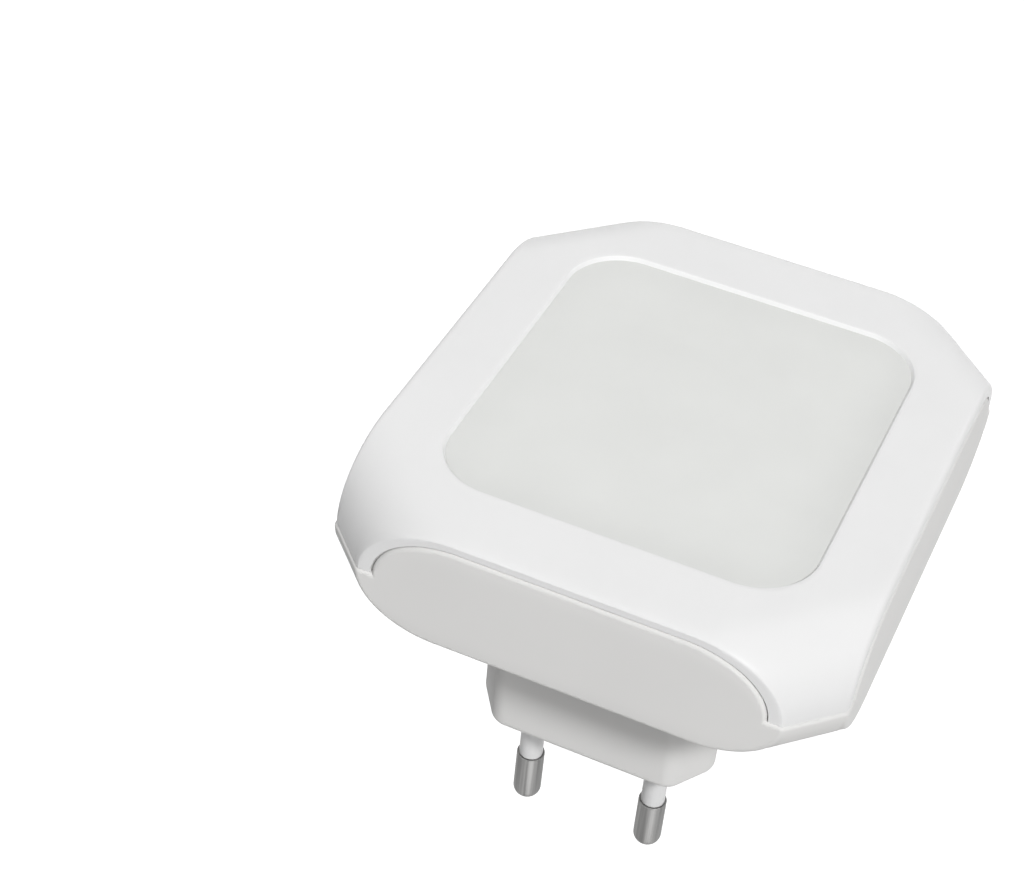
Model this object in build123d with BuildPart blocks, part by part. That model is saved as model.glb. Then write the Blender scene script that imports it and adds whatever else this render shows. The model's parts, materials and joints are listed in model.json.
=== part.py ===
"""Plug-in night light: a thin octagonal case with an opal diffuser on a two-pin plug neck.

Millimetres, +Z up. The origin is on the plug face, midway between the pins. The pins point along +Y into
the socket, and the diffuser faces -Y.
"""

from build123d import *
import os
from math import radians, tan

os.makedirs("parts", exist_ok=True)

# ---------------------------------------------------------------- driving dimensions

# Case, seen from the front
case_width = 70.0
case_height = 78.0
corner_cut = 6.4  # leg of the diagonal corner at the parting line
plug_below_top = 19.8  # plug axis below the top of the case

# Case, along the depth
neck_length = 25.4  # plug face to the back of the case
back_depth = 8.6  # back of the case to the parting line
front_depth = 9.6  # parting line to the front face

# Walls
cover_wall = 1.5
seam_gap = 0.3  # between the cover's rim and the side panels
panel_wall = 1.6
floor_wall = 1.8
corner_wall = 2.8  # the housing's diagonal corners, which carry the tongue
tongue_height = 1.5
edge_round = 1.0
panel_round = 0.4
fit_gap = 0.15  # around pieces that drop into each other

# Diffuser
rim_width = 9.8  # cover beside the opening
rim_height = 11.1  # cover above and below the opening
opening_round = 8.5
opening_edge_round = 0.4
lens_recess = 0.7
lens_crown = 0.6
lens_edge_round = 0.5
lens_flange = 2.2
lens_flange_thickness = 1.2

# Plug to the flat two-pin standard
pin_spacing = 18.8
pin_length = 19.0
pin_tip_radius = 2.0
pin_core_radius = 1.2
sleeve_radius = 1.7
sleeve_length = 10.2
pin_inner_length = 8.0
pin_end_round = 1.7
neck_width = 35.3  # across the two points
neck_flat_width = 26.1
neck_thickness = 13.7
neck_corner_round = 1.5
neck_face_round = 0.8
neck_wall = 1.8
neck_end_wall = 4.0
neck_flange = 2.4
neck_flange_thickness = 1.5

# Board, posts and screws
board_side_gap = 2.4  # to the side panels
board_end_gap = 7.0  # to the top and bottom panels, which leaves room for the case screws
board_thickness = 1.6
board_above_parting = 0.6
board_corner = 2.0
post_inset = 3.2  # post axis inside the board's edges
post_radius = 2.4
screw_radius = 1.1
screw_head_radius = 1.9
screw_head_height = 1.4
screw_edge_round = 0.4
screw_slot_width = 0.6
screw_slot_depth = 0.6
screw_hole_gap = 0.05
board_screw_length = 5.0
case_screw_length = 12.0
case_screw_inset = 4.8  # screw axis inside the top and bottom of the case
case_pillar_radius = 2.95
case_boss_radius = 2.4
case_screw_sink = 2.4  # depth of the head under the back of the case

# Reflector tray
tray_floor = 1.0
tray_wall = 1.6
tray_taper = 20.0
tray_window_gap = 0.4

# Electrical pieces
led_size = (3.5, 2.8, 0.8)
led_inset = 13.8  # lamp centre inside the edges of the opening
led_lens_radius = 1.1
led_lens_depth = 0.1
sensor_size = (3.2, 2.6, 1.0)
sensor_place = (0.0, -21.0)
sensor_dome_radius = 1.0
sensor_dome_height = 0.5
film_capacitor_size = (13.0, 11.0, 5.4)
film_capacitor_place = (15.0, -11.0)
film_capacitor_round = 0.6
can_radius = 2.8
can_length = 11.0
can_place = (-15.0, -8.0)
can_crimp = 0.35
can_round = 0.5
bridge_size = (4.8, 4.0, 2.4)
bridge_place = (0.0, -20.0)
bridge_lead_spacing = 2.5
resistor_radius = 1.4
resistor_length = 8.0
resistor_place = (-14.0, 3.0)
resistor_end_length = 1.6
resistor_end_growth = 0.25
wire_radius = 0.3
resistor_wire_reach = 1.5
bleed_size = (3.2, 1.6, 0.6)
bleed_place = (15.0, 0.5)
bleed_gap = 1.0
chip_size = (2.0, 1.25, 0.5)
chip_place = (-15.0, -20.0)
chip_spacing = 3.5
zener_size = (4.3, 2.6, 2.1)
zener_place = (9.0, -22.0)
transistor_size = (2.9, 1.3, 1.0)
transistor_place = (-4.0, -12.0)
transistor_lead_spacing = 1.9
lead_frame_width = 0.5
lead_frame_thickness = 0.2
lead_frame_reach = 0.6
insulation_radius = 0.8
lead_core_radius = 0.4
lead_bend_radius = 4.0
lead_straight = 5.0
lead_cup_depth = 2.0
lead_hole_place = (7.0, -3.5)  # half spacing, and height below the pins

# ---------------------------------------------------------------- derived sizes

case_middle = plug_below_top - case_height / 2
parting = neck_length + back_depth
front_face = parting + front_depth
floor_top = neck_length + floor_wall
cover_inside = front_face - cover_wall
board_back = parting + board_above_parting
board_front = board_back + board_thickness
lens_flange_back = cover_inside - lens_flange_thickness
opening_width = case_width - 2 * rim_width
opening_height = case_height - 2 * rim_height
window_width = opening_width - 2 * fit_gap
window_height = opening_height - 2 * fit_gap
window_round = opening_round - fit_gap
flange_width = opening_width + 2 * lens_flange
flange_height = opening_height + 2 * lens_flange
flange_round = opening_round + lens_flange
board_width = case_width - 2 * (panel_wall + board_side_gap)
board_height = case_height - 2 * (panel_wall + board_end_gap)
post_spacing_x = board_width - 2 * post_inset
post_spacing_z = board_height - 2 * post_inset
case_screw_spacing = case_height - 2 * case_screw_inset
led_spacing_x = opening_width - 2 * led_inset
led_spacing_z = opening_height - 2 * led_inset
# distance from the middle of the case to each diagonal corner face, at the parting line
corner_reach = (case_width + case_height - 2 * corner_cut) / 2 / 2**0.5
screw_hole_radius = screw_radius + screw_hole_gap


def facing(depth, x=0.0, z=0.0):
    """Plane parallel to the front face, depth in front of the plug face, with its normal along -Y."""
    return Plane(origin=(x, -depth, z), x_dir=(1, 0, 0), z_dir=(0, -1, 0))


def on_case(depth, place=(0.0, 0.0)):
    """Front-facing plane at a place measured from the middle of the case."""
    return facing(depth, place[0], case_middle + place[1])


def case_shape(front_inset, back_inset, corner_inset, side_inset):
    """The case's outer form, or a smaller one: a box cut by two bars with round ends.

    Each bar runs along one diagonal. Its round ends roll the two corners that it crosses, with the front
    depth as radius above the parting line and the back depth below it.
    """
    front_roll = front_depth - front_inset
    back_roll = back_depth - back_inset
    reach = corner_reach - corner_inset
    front_flat = reach - front_roll
    back_flat = reach - back_roll
    with BuildPart() as shape:
        with BuildSketch(on_case(parting - back_roll)):
            Rectangle(case_width - 2 * side_inset, case_height - 2 * side_inset)
        extrude(amount=front_roll + back_roll)
        for side in (1, -1):
            across = Vector(1, 0, side)
            upright = across.cross(Vector(0, -1, 0))
            with BuildSketch(Plane(origin=(0, -parting, case_middle), x_dir=across, z_dir=upright)):
                with BuildLine():
                    Line((-front_flat, front_roll), (front_flat, front_roll))
                    CenterArc((front_flat, 0), front_roll, 0, 90)
                    CenterArc((back_flat, 0), back_roll, -90, 90)
                    Line((back_flat, -back_roll), (-back_flat, -back_roll))
                    CenterArc((-back_flat, 0), back_roll, 180, 90)
                    CenterArc((-front_flat, 0), front_roll, 90, 90)
                make_face()
            extrude(amount=case_height + case_width, both=True, mode=Mode.INTERSECT)
    return shape.part


def side_edges(part):
    """The edges of the four long side faces, apart from those on the parting line."""
    sides = part.faces().filter_by(Axis.X) + part.faces().filter_by(Axis.Z)
    return [edge for face in sides for edge in face.edges() if abs(edge.center().Y + parting) > 0.01]


def case_screw_places():
    """The two case screws, above and below the middle of the case."""
    return [(0.0, case_screw_spacing / 2), (0.0, -case_screw_spacing / 2)]


def hexagon(margin):
    """Points of the neck's outline, grown or shrunk by a margin."""
    tip = neck_width / 2 + margin
    flat = neck_flat_width / 2 + margin / 2
    edge = neck_thickness / 2 + margin
    return [(-tip, 0), (-flat, -edge), (flat, -edge), (tip, 0), (flat, edge), (-flat, edge)]


def save(name, piece):
    """Label the piece and write it to its STEP file."""
    piece.label = name
    export_step(piece, f"parts/{name}.step")


# ---------------------------------------------------------------- shared forms

outer_form = case_shape(0, 0, 0, 0)
cover_hollow = case_shape(cover_wall, cover_wall, cover_wall, -edge_round)
housing_hollow = case_shape(0, floor_wall, corner_wall, panel_wall)
panel_form = case_shape(cover_wall + seam_gap, 0, cover_wall + seam_gap, 0)

# ---------------------------------------------------------------- front cover

with BuildPart() as front_cover:
    add(outer_form)
    split(bisect_by=on_case(parting), keep=Keep.TOP)
    fillet(side_edges(front_cover.part), edge_round)
    add(cover_hollow, mode=Mode.SUBTRACT)
    with BuildSketch(on_case(cover_inside)):
        RectangleRounded(opening_width, opening_height, opening_round)
    extrude(amount=cover_wall, mode=Mode.SUBTRACT)
    opening_rim = [
        edge
        for edge in front_cover.edges().group_by(Axis.Y)[0]
        if abs(edge.center().X) < opening_width / 2 + 0.01
        and abs(edge.center().Z - case_middle) < opening_height / 2 + 0.01
    ]
    fillet(opening_rim, opening_edge_round)
    for place in case_screw_places():
        with BuildSketch(on_case(board_back, place)):
            Circle(case_boss_radius)
            Circle(screw_hole_radius, mode=Mode.SUBTRACT)
        extrude(amount=cover_inside - board_back)
save("front_cover", front_cover.part)

# ---------------------------------------------------------------- diffuser

with BuildPart() as diffuser_lens:
    with BuildSketch(on_case(lens_flange_back)):
        RectangleRounded(flange_width, flange_height, flange_round)
    extrude(amount=lens_flange_thickness)
    with BuildSketch(on_case(cover_inside)):
        RectangleRounded(window_width, window_height, window_round)
    extrude(amount=cover_wall - lens_recess + lens_crown)
    half_diagonal = (window_width**2 + window_height**2) ** 0.5 / 2
    crown_radius = (half_diagonal**2 + lens_crown**2) / 2 / lens_crown
    crown_middle = front_face - lens_recess + lens_crown - crown_radius
    with Locations((0, -crown_middle, case_middle)):
        Sphere(crown_radius, mode=Mode.INTERSECT)
    lens_rim = diffuser_lens.faces().sort_by(Axis.Y)[0].edges()
    fillet(lens_rim, lens_edge_round)
save("diffuser_lens", diffuser_lens.part)

# ---------------------------------------------------------------- back housing

with BuildPart() as side_panels:
    add(panel_form)
    split(bisect_by=on_case(parting), keep=Keep.TOP)
    fillet(side_edges(side_panels.part), panel_round)
    with BuildSketch(on_case(parting + tongue_height)):
        Rectangle(case_width - 2 * panel_wall, case_height - 2 * panel_wall)
    extrude(amount=front_depth, mode=Mode.SUBTRACT)

with BuildPart() as board_room:
    add(housing_hollow)
    split(bisect_by=on_case(parting + tongue_height), keep=Keep.BOTTOM)

with BuildPart() as back_housing:
    add(outer_form)
    split(bisect_by=on_case(parting), keep=Keep.BOTTOM)
    fillet(side_edges(back_housing.part), edge_round)
    add(side_panels.part)
    add(board_room.part, mode=Mode.SUBTRACT)
    # posts under the board
    with BuildSketch(on_case(floor_top)):
        with GridLocations(post_spacing_x, post_spacing_z, 2, 2):
            Circle(post_radius)
    extrude(amount=board_back - floor_top)
    with BuildSketch(on_case(board_back)):
        with GridLocations(post_spacing_x, post_spacing_z, 2, 2):
            Circle(screw_hole_radius)
    extrude(amount=-(board_back - floor_top), mode=Mode.SUBTRACT)
    # pillars for the case screws, with sunk seats for their heads
    for place in case_screw_places():
        with BuildSketch(on_case(neck_length, place)):
            Circle(case_pillar_radius)
        extrude(amount=board_back - neck_length)
        with BuildSketch(on_case(neck_length, place)):
            Circle(screw_head_radius + fit_gap)
        extrude(amount=case_screw_sink + screw_head_height, mode=Mode.SUBTRACT)
        with BuildSketch(on_case(neck_length, place)):
            Circle(screw_hole_radius)
        extrude(amount=board_back - neck_length, mode=Mode.SUBTRACT)
    # opening for the plug neck
    with BuildSketch(facing(neck_length)):
        with BuildLine():
            Polyline(*hexagon(fit_gap), close=True)
        make_face()
    extrude(amount=floor_wall, mode=Mode.SUBTRACT)
save("back_housing", back_housing.part)

# ---------------------------------------------------------------- plug neck and pins

with BuildPart() as plug_neck:
    with BuildSketch(facing(0)):
        with BuildLine():
            Polyline(*hexagon(0), close=True)
        make_face()
    extrude(amount=floor_top)
    fillet(plug_neck.edges().filter_by(Axis.Y), neck_corner_round)
    fillet(plug_neck.faces().sort_by(Axis.Y)[-1].edges(), neck_face_round)
    with BuildSketch(facing(floor_top)):
        RectangleRounded(neck_width + 2 * neck_flange, neck_thickness + 2 * neck_flange, neck_flange)
    extrude(amount=neck_flange_thickness)
    with BuildSketch(facing(neck_end_wall)):
        with BuildLine():
            Polyline(*hexagon(-neck_wall), close=True)
        make_face()
    extrude(amount=floor_top + neck_flange_thickness - neck_end_wall, mode=Mode.SUBTRACT)
    with BuildSketch(facing(0)):
        with GridLocations(pin_spacing, 0, 2, 1):
            Circle(sleeve_radius)
    extrude(amount=neck_end_wall, mode=Mode.SUBTRACT)
save("plug_neck", plug_neck.part)

for side, name in ((-1, "left"), (1, "right")):
    pin_x = side * pin_spacing / 2
    with BuildPart() as pin:
        with BuildSketch(facing(-pin_length, pin_x)):
            Circle(pin_tip_radius)
        extrude(amount=pin_length - sleeve_length)
        fillet(pin.edges().sort_by(Axis.Y)[-1], pin_end_round)
        with BuildSketch(facing(-sleeve_length, pin_x)):
            Circle(pin_core_radius)
        extrude(amount=sleeve_length + pin_inner_length)
        with BuildSketch(facing(pin_inner_length, pin_x)):
            Circle(lead_core_radius)
        extrude(amount=-lead_cup_depth, mode=Mode.SUBTRACT)
    save(f"pin_{name}", pin.part)

    with BuildPart() as sleeve:
        with BuildSketch(facing(-sleeve_length, pin_x)):
            Circle(sleeve_radius)
            Circle(pin_core_radius, mode=Mode.SUBTRACT)
        extrude(amount=sleeve_length + neck_end_wall)
    save(f"pin_sleeve_{name}", sleeve.part)

    hole_x = side * lead_hole_place[0]
    hole_z = lead_hole_place[1]
    with BuildPart() as lead:
        with BuildLine():
            FilletPolyline(
                (pin_x, -pin_inner_length, 0),
                (pin_x, -pin_inner_length - lead_straight, 0),
                (hole_x, -board_back + lead_straight, hole_z),
                (hole_x, -board_back, hole_z),
                radius=lead_bend_radius,
            )
        with BuildSketch(facing(pin_inner_length, pin_x)):
            Circle(insulation_radius)
        sweep()
        with BuildSketch(facing(pin_inner_length - lead_cup_depth, pin_x)):
            Circle(lead_core_radius)
        extrude(amount=lead_cup_depth)
        with BuildSketch(facing(board_back, hole_x, hole_z)):
            Circle(lead_core_radius)
        extrude(amount=board_thickness)
    save(f"lead_{name}", lead.part)

# ---------------------------------------------------------------- board and tray

with BuildPart() as circuit_board:
    with BuildSketch(on_case(board_back)):
        RectangleRounded(board_width, board_height, board_corner)
        with GridLocations(post_spacing_x, post_spacing_z, 2, 2):
            Circle(screw_hole_radius, mode=Mode.SUBTRACT)
    extrude(amount=board_thickness)
    with BuildSketch(facing(board_back, 0, lead_hole_place[1])):
        with GridLocations(2 * lead_hole_place[0], 0, 2, 1):
            Circle(lead_core_radius)
    extrude(amount=board_thickness, mode=Mode.SUBTRACT)
save("circuit_board", circuit_board.part)

with BuildPart() as reflector_tray:
    tray_depth = lens_flange_back - board_front
    spread = (tray_depth - tray_floor) * tan(radians(tray_taper))
    with BuildSketch(on_case(board_front)):
        RectangleRounded(flange_width, flange_height, flange_round)
    extrude(amount=tray_depth)
    with BuildSketch(on_case(board_front + tray_floor)):
        RectangleRounded(
            flange_width - 2 * tray_wall - 2 * spread,
            flange_height - 2 * tray_wall - 2 * spread,
            flange_round - tray_wall - spread,
        )
    extrude(amount=tray_depth - tray_floor, taper=-tray_taper, mode=Mode.SUBTRACT)
    with BuildSketch(on_case(board_front)):
        with GridLocations(led_spacing_x, led_spacing_z, 2, 2):
            Rectangle(led_size[0] + 2 * tray_window_gap, led_size[1] + 2 * tray_window_gap)
        with Locations(sensor_place):
            Rectangle(sensor_size[0] + 2 * tray_window_gap, sensor_size[1] + 2 * tray_window_gap)
    extrude(amount=tray_floor, mode=Mode.SUBTRACT)
save("reflector_tray", reflector_tray.part)

# ---------------------------------------------------------------- screws


def screws(places, seat, length, towards):
    """Pan head screws with a cross recess: heads on the seat, shanks to the front (1) or back (-1)."""
    with BuildPart() as group:
        for place in places:
            with BuildSketch(on_case(seat, place)):
                Circle(screw_head_radius)
            extrude(amount=-towards * screw_head_height)
        top = group.faces().sort_by(Axis.Y)[-1 if towards > 0 else 0].center().Y
        fillet(group.edges().filter_by_position(Axis.Y, top - 0.01, top + 0.01), screw_edge_round)
        for place in places:
            with BuildSketch(on_case(seat, place)):
                Circle(screw_radius)
            extrude(amount=towards * length)
            with BuildSketch(on_case(-top, place)):
                Rectangle(screw_radius * 2, screw_slot_width)
                Rectangle(screw_slot_width, screw_radius * 2)
            extrude(amount=towards * screw_slot_depth, mode=Mode.SUBTRACT)
    return group.part


post_places = [
    (x * post_spacing_x / 2, z * post_spacing_z / 2) for x in (-1, 1) for z in (-1, 1)
]
save("board_screws", screws(post_places, board_front, board_screw_length, -1))
case_screw_seat = neck_length + case_screw_sink + screw_head_height
save("case_screws", screws(case_screw_places(), case_screw_seat, case_screw_length, 1))

# ---------------------------------------------------------------- pieces on the front of the board

with BuildPart() as leds:
    with BuildSketch(on_case(board_front)):
        with GridLocations(led_spacing_x, led_spacing_z, 2, 2):
            Rectangle(led_size[0], led_size[1])
    extrude(amount=led_size[2])
    with BuildSketch(on_case(board_front + led_size[2])):
        with GridLocations(led_spacing_x, led_spacing_z, 2, 2):
            Circle(led_lens_radius)
    extrude(amount=-led_lens_depth, mode=Mode.SUBTRACT)
save("leds", leds.part)

with BuildPart() as led_phosphors:
    with BuildSketch(on_case(board_front + led_size[2])):
        with GridLocations(led_spacing_x, led_spacing_z, 2, 2):
            Circle(led_lens_radius)
    extrude(amount=-led_lens_depth)
save("led_phosphors", led_phosphors.part)

with BuildPart() as light_sensor:
    with BuildSketch(on_case(board_front, sensor_place)):
        Rectangle(sensor_size[0], sensor_size[1])
    extrude(amount=sensor_size[2])
    with BuildSketch(on_case(board_front + sensor_size[2], sensor_place)):
        Circle(sensor_dome_radius)
    extrude(amount=sensor_dome_height)
    fillet(light_sensor.faces().sort_by(Axis.Y)[0].edges(), sensor_dome_height * 0.9)
save("light_sensor", light_sensor.part)

# ---------------------------------------------------------------- pieces on the back of the board


def block(place, size, count=1, spacing=0.0):
    """Rectangular bodies on the back of the board, in a row along X. size is width, height and depth."""
    with BuildPart() as body:
        with BuildSketch(on_case(board_back, place)):
            with GridLocations(spacing, 0, count, 1):
                Rectangle(size[0], size[1])
        extrude(amount=-size[2])
    return body.part


def gull_leads(place, size, pairs):
    """Bent leads beside a block: a riser at its side and a foot on the board. pairs holds (x, side)."""
    with BuildPart() as leads:
        for x, side in pairs:
            edge = side * size[1] / 2
            riser = (place[0] + x, place[1] + edge + side * lead_frame_thickness / 2)
            foot = (place[0] + x, place[1] + edge + side * lead_frame_reach / 2)
            with BuildSketch(on_case(board_back, riser)):
                Rectangle(lead_frame_width, lead_frame_thickness)
            extrude(amount=-size[2] / 2)
            with BuildSketch(on_case(board_back, foot)):
                Rectangle(lead_frame_width, lead_frame_reach)
            extrude(amount=-lead_frame_thickness)
    return leads.part


with BuildPart() as dropper_capacitor:
    add(block(film_capacitor_place, film_capacitor_size))
    fillet(dropper_capacitor.edges().group_by(Axis.Y)[-1], film_capacitor_round)
save("dropper_capacitor", dropper_capacitor.part)

with BuildPart() as smoothing_capacitor:
    can_axis = on_case(board_back - can_radius, can_place)
    with BuildSketch(Plane(origin=can_axis.origin, x_dir=(1, 0, 0), z_dir=(0, 0, 1))):
        with BuildLine():
            Polyline(
                (-can_length / 2, 0),
                (can_length / 2, 0),
                (can_length / 2, can_radius),
                (-can_length / 2 + 3 * can_crimp, can_radius),
                (-can_length / 2 + 2 * can_crimp, can_radius - can_crimp),
                (-can_length / 2 + can_crimp, can_radius),
                (-can_length / 2, can_radius),
                close=True,
            )
        make_face()
    revolve(axis=Axis(can_axis.origin, (1, 0, 0)))
    fillet(smoothing_capacitor.edges().filter_by(GeomType.CIRCLE).sort_by(Axis.X)[-1], can_round)
save("smoothing_capacitor", smoothing_capacitor.part)

save("bridge_rectifier", block(bridge_place, bridge_size))
half = bridge_lead_spacing / 2
bridge_pairs = [(x, side) for x in (-half, half) for side in (-1, 1)]
save("bridge_rectifier_leads", gull_leads(bridge_place, bridge_size, bridge_pairs))

resistor_depth = board_back - resistor_radius - resistor_end_growth
resistor_axis = on_case(resistor_depth, resistor_place)
with BuildPart() as fusible_resistor:
    end = resistor_length / 2 - resistor_end_length
    with BuildSketch(Plane(origin=resistor_axis.origin, x_dir=(1, 0, 0), z_dir=(0, 0, 1))):
        with BuildLine():
            Polyline(
                (-resistor_length / 2, 0),
                (resistor_length / 2, 0),
                (resistor_length / 2, resistor_radius + resistor_end_growth),
                (end, resistor_radius + resistor_end_growth),
                (end - resistor_end_growth, resistor_radius),
                (-end + resistor_end_growth, resistor_radius),
                (-end, resistor_radius + resistor_end_growth),
                (-resistor_length / 2, resistor_radius + resistor_end_growth),
                close=True,
            )
        make_face()
    revolve(axis=Axis(resistor_axis.origin, (1, 0, 0)))
    tips = fusible_resistor.edges().filter_by(GeomType.CIRCLE).group_by(Axis.X)
    fillet(tips[0] + tips[-1], resistor_end_growth)
save("fusible_resistor", fusible_resistor.part)

with BuildPart() as fusible_resistor_leads:
    for side in (-1, 1):
        start = Vector(resistor_axis.origin) + Vector(side * resistor_length / 2, 0, 0)
        corner = start + Vector(side * resistor_wire_reach, 0, 0)
        with BuildLine():
            FilletPolyline(start, corner, (corner.X, -board_back, corner.Z), radius=2 * wire_radius)
        with BuildSketch(Plane(origin=start, x_dir=(0, 0, 1), z_dir=(side, 0, 0))):
            Circle(wire_radius)
        sweep()
save("fusible_resistor_leads", fusible_resistor_leads.part)

save("bleed_resistors", block(bleed_place, bleed_size, 2, bleed_size[0] + bleed_gap))
save("chip_resistors", block(chip_place, chip_size, 4, chip_spacing))
save("zener_diode", block(zener_place, zener_size))

save("switching_transistor", block(transistor_place, transistor_size))
half = transistor_lead_spacing / 2
transistor_pairs = [(-half, -1), (half, -1), (0, 1)]
transistor_leads = gull_leads(transistor_place, transistor_size, transistor_pairs)
save("switching_transistor_leads", transistor_leads)
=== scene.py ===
# %% [markdown]
# # A plug in night light
#
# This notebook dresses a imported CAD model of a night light: a thin white case with rolled corners, an opal
# panel in its front, and a plug neck with two pins behind. The CAD model is the fixed frame: its plug face is
# at y = 0, the pins point along +Y and the panel faces -Y. The visible pieces are worked out as numpy
# surfaces in the same place, and the hidden ones keep their CAD meshes and get a procedural finish.

# %% Load the frame and note the CAD box
import json

import bmesh
import bpy
import numpy as np
from mathutils import Matrix, Vector


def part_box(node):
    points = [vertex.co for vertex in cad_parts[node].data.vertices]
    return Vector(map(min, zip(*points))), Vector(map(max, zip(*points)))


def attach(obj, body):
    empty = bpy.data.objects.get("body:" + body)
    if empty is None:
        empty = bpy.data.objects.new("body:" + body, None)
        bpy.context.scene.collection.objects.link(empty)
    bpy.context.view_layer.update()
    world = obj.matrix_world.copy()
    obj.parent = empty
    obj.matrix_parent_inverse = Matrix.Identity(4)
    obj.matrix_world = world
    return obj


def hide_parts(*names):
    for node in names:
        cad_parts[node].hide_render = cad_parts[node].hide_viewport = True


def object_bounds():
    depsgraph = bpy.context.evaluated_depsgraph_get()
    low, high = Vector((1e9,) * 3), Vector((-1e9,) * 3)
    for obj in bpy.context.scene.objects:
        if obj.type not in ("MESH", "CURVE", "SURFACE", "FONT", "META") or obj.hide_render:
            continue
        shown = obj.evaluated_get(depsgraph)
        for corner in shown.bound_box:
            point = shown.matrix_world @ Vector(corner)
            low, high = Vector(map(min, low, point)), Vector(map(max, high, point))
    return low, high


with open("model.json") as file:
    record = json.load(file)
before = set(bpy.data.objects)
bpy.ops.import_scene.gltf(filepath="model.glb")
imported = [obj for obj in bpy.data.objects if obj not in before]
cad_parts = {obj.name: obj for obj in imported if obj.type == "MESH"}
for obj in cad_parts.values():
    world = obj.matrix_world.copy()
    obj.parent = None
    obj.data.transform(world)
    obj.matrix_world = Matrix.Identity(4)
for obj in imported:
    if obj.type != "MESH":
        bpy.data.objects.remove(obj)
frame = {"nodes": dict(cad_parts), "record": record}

MM = 0.001
ROOT2 = np.sqrt(2.0)
cad_box = [list(corner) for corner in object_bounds()]
print("CAD box in mm:", [[round(value / MM, 2) for value in corner] for corner in cad_box])

# %% [markdown]
# ## The camera
#
# A camera is fixed by where it stands, which way it looks, how it is rolled about that line and how long its
# lens is. The light is seen here from its front, from above and from one side, and rolled so that the panel
# faces up and the plug hangs down. The three directions of the picture are worked out first and written into
# the camera's matrix, because a matrix can't be read in two ways, as turns about three axes can.

# %% Camera
CAMERA_PLACE = Vector((-60.52, -231.27, 202.23)) * MM
CAMERA_TARGET = Vector((21.41, -35.13, -12.05)) * MM
CAMERA_ROLL = np.radians(-144.153)
CAMERA_LENS = 78.667
SENSOR_WIDTH = 36.0
CAMERA_RANGE = (0.01, 10.0)  # nearest and furthest place that it sees, in metres


def look_along(place, target, roll):
    """Turn and shift of a camera at place that looks at target, with its picture turned by roll."""
    ahead = (target - place).normalized()
    level = ahead.cross(Vector((0, 0, 1))).normalized()
    upright = level.cross(ahead)
    right = level * np.cos(roll) + upright * np.sin(roll)
    up = right.cross(ahead)
    return Matrix((right, up, -ahead)).transposed().to_4x4(), Matrix.Translation(place)


turn, shift = look_along(CAMERA_PLACE, CAMERA_TARGET, CAMERA_ROLL)
camera_data = bpy.data.cameras.new("camera")
camera_data.lens = CAMERA_LENS
camera_data.sensor_width = SENSOR_WIDTH
camera_data.sensor_fit = "HORIZONTAL"
camera_data.clip_start, camera_data.clip_end = CAMERA_RANGE
camera = bpy.data.objects.new("camera", camera_data)
camera.matrix_world = shift @ turn
bpy.context.scene.collection.objects.link(camera)
bpy.context.scene.camera = camera
bpy.context.scene.view_settings.view_transform = "Standard"
print("camera right:", [round(value, 4) for value in turn.col[0][:3]])
print("camera down:", [round(-value, 4) for value in turn.col[1][:3]])

# %% [markdown]
# ## Helpers for meshes
#
# A piece is made of patches. Each patch is a grid of points, rows by columns, worked out as one array. The
# patches share their border points, so once all of them are in one mesh, points in the same place are merged
# and the skin is closed. Then the normals are made to point outwards, and only edges that turn by more than a
# set angle are kept sharp, so flats stay flat and rolled corners stay smooth.

# %% Meshes from patches
SHARP_ANGLE = 30.0  # degrees between two faces, above which their edge stays sharp
MERGE = 0.002  # millimetres between points that count as one
CUT_MERGE = 0.001  # the same after a boolean, which leaves shorter edges
case_low, case_high = (np.array(corner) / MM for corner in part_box("front_cover"))
half_width = case_high[0]
half_height = (case_high[2] - case_low[2]) / 2
case_middle = (case_high[2] + case_low[2]) / 2
parting = -case_high[1]  # depth of the parting line in front of the plug face
front_depth = -case_low[1] - parting
print("half width, half height, middle, parting, front depth:",
      np.round([half_width, half_height, case_middle, parting, front_depth], 3))


def quads(rows, columns):
    """Corner numbers of the quads between neighbouring rows and columns of a grid."""
    corner = (np.arange(rows - 1)[:, None] * columns + np.arange(columns - 1)).ravel()
    return np.stack([corner, corner + 1, corner + columns + 1, corner + columns], -1)


def piece_from_patches(name, patches):
    """Join patches, arrays of rows by columns by x, y and z in millimetres, into one closed object."""
    points = np.concatenate([patch.reshape(-1, 3) for patch in patches]) * MM
    starts = np.cumsum([0] + [patch.shape[0] * patch.shape[1] for patch in patches[:-1]])
    faces = np.concatenate([quads(*patch.shape[:2]) + start for patch, start in zip(patches, starts)])
    mesh = bpy.data.meshes.new(name)
    mesh.from_pydata(points.tolist(), [], faces.tolist())
    return tidy_mesh(name, mesh, MERGE)


def tidy_mesh(name, mesh, merge):
    """Merge points in one place, drop faces without area, point the normals outwards and shade."""
    work = bmesh.new()
    work.from_mesh(mesh)
    bmesh.ops.remove_doubles(work, verts=work.verts, dist=merge * MM)
    bmesh.ops.dissolve_degenerate(work, edges=work.edges, dist=merge * MM)
    bmesh.ops.recalc_face_normals(work, faces=work.faces)
    open_edges = sum(not edge.is_manifold for edge in work.edges)
    work.to_mesh(mesh)
    work.free()
    mesh.shade_smooth()
    mesh.set_sharp_from_angle(angle=np.radians(SHARP_ANGLE))
    piece = bpy.data.objects.new(name, mesh)
    bpy.context.scene.collection.objects.link(piece)
    print(name, "faces:", len(mesh.polygons), "open edges:", open_edges)
    return piece


def stand_for(piece, slot, *nodes):
    """Let a new piece ride on the case, take the place of CAD nodes and name its finish."""
    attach(piece, "root")
    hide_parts(*nodes)
    piece.data.materials.append(FINISHES[slot])


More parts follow.
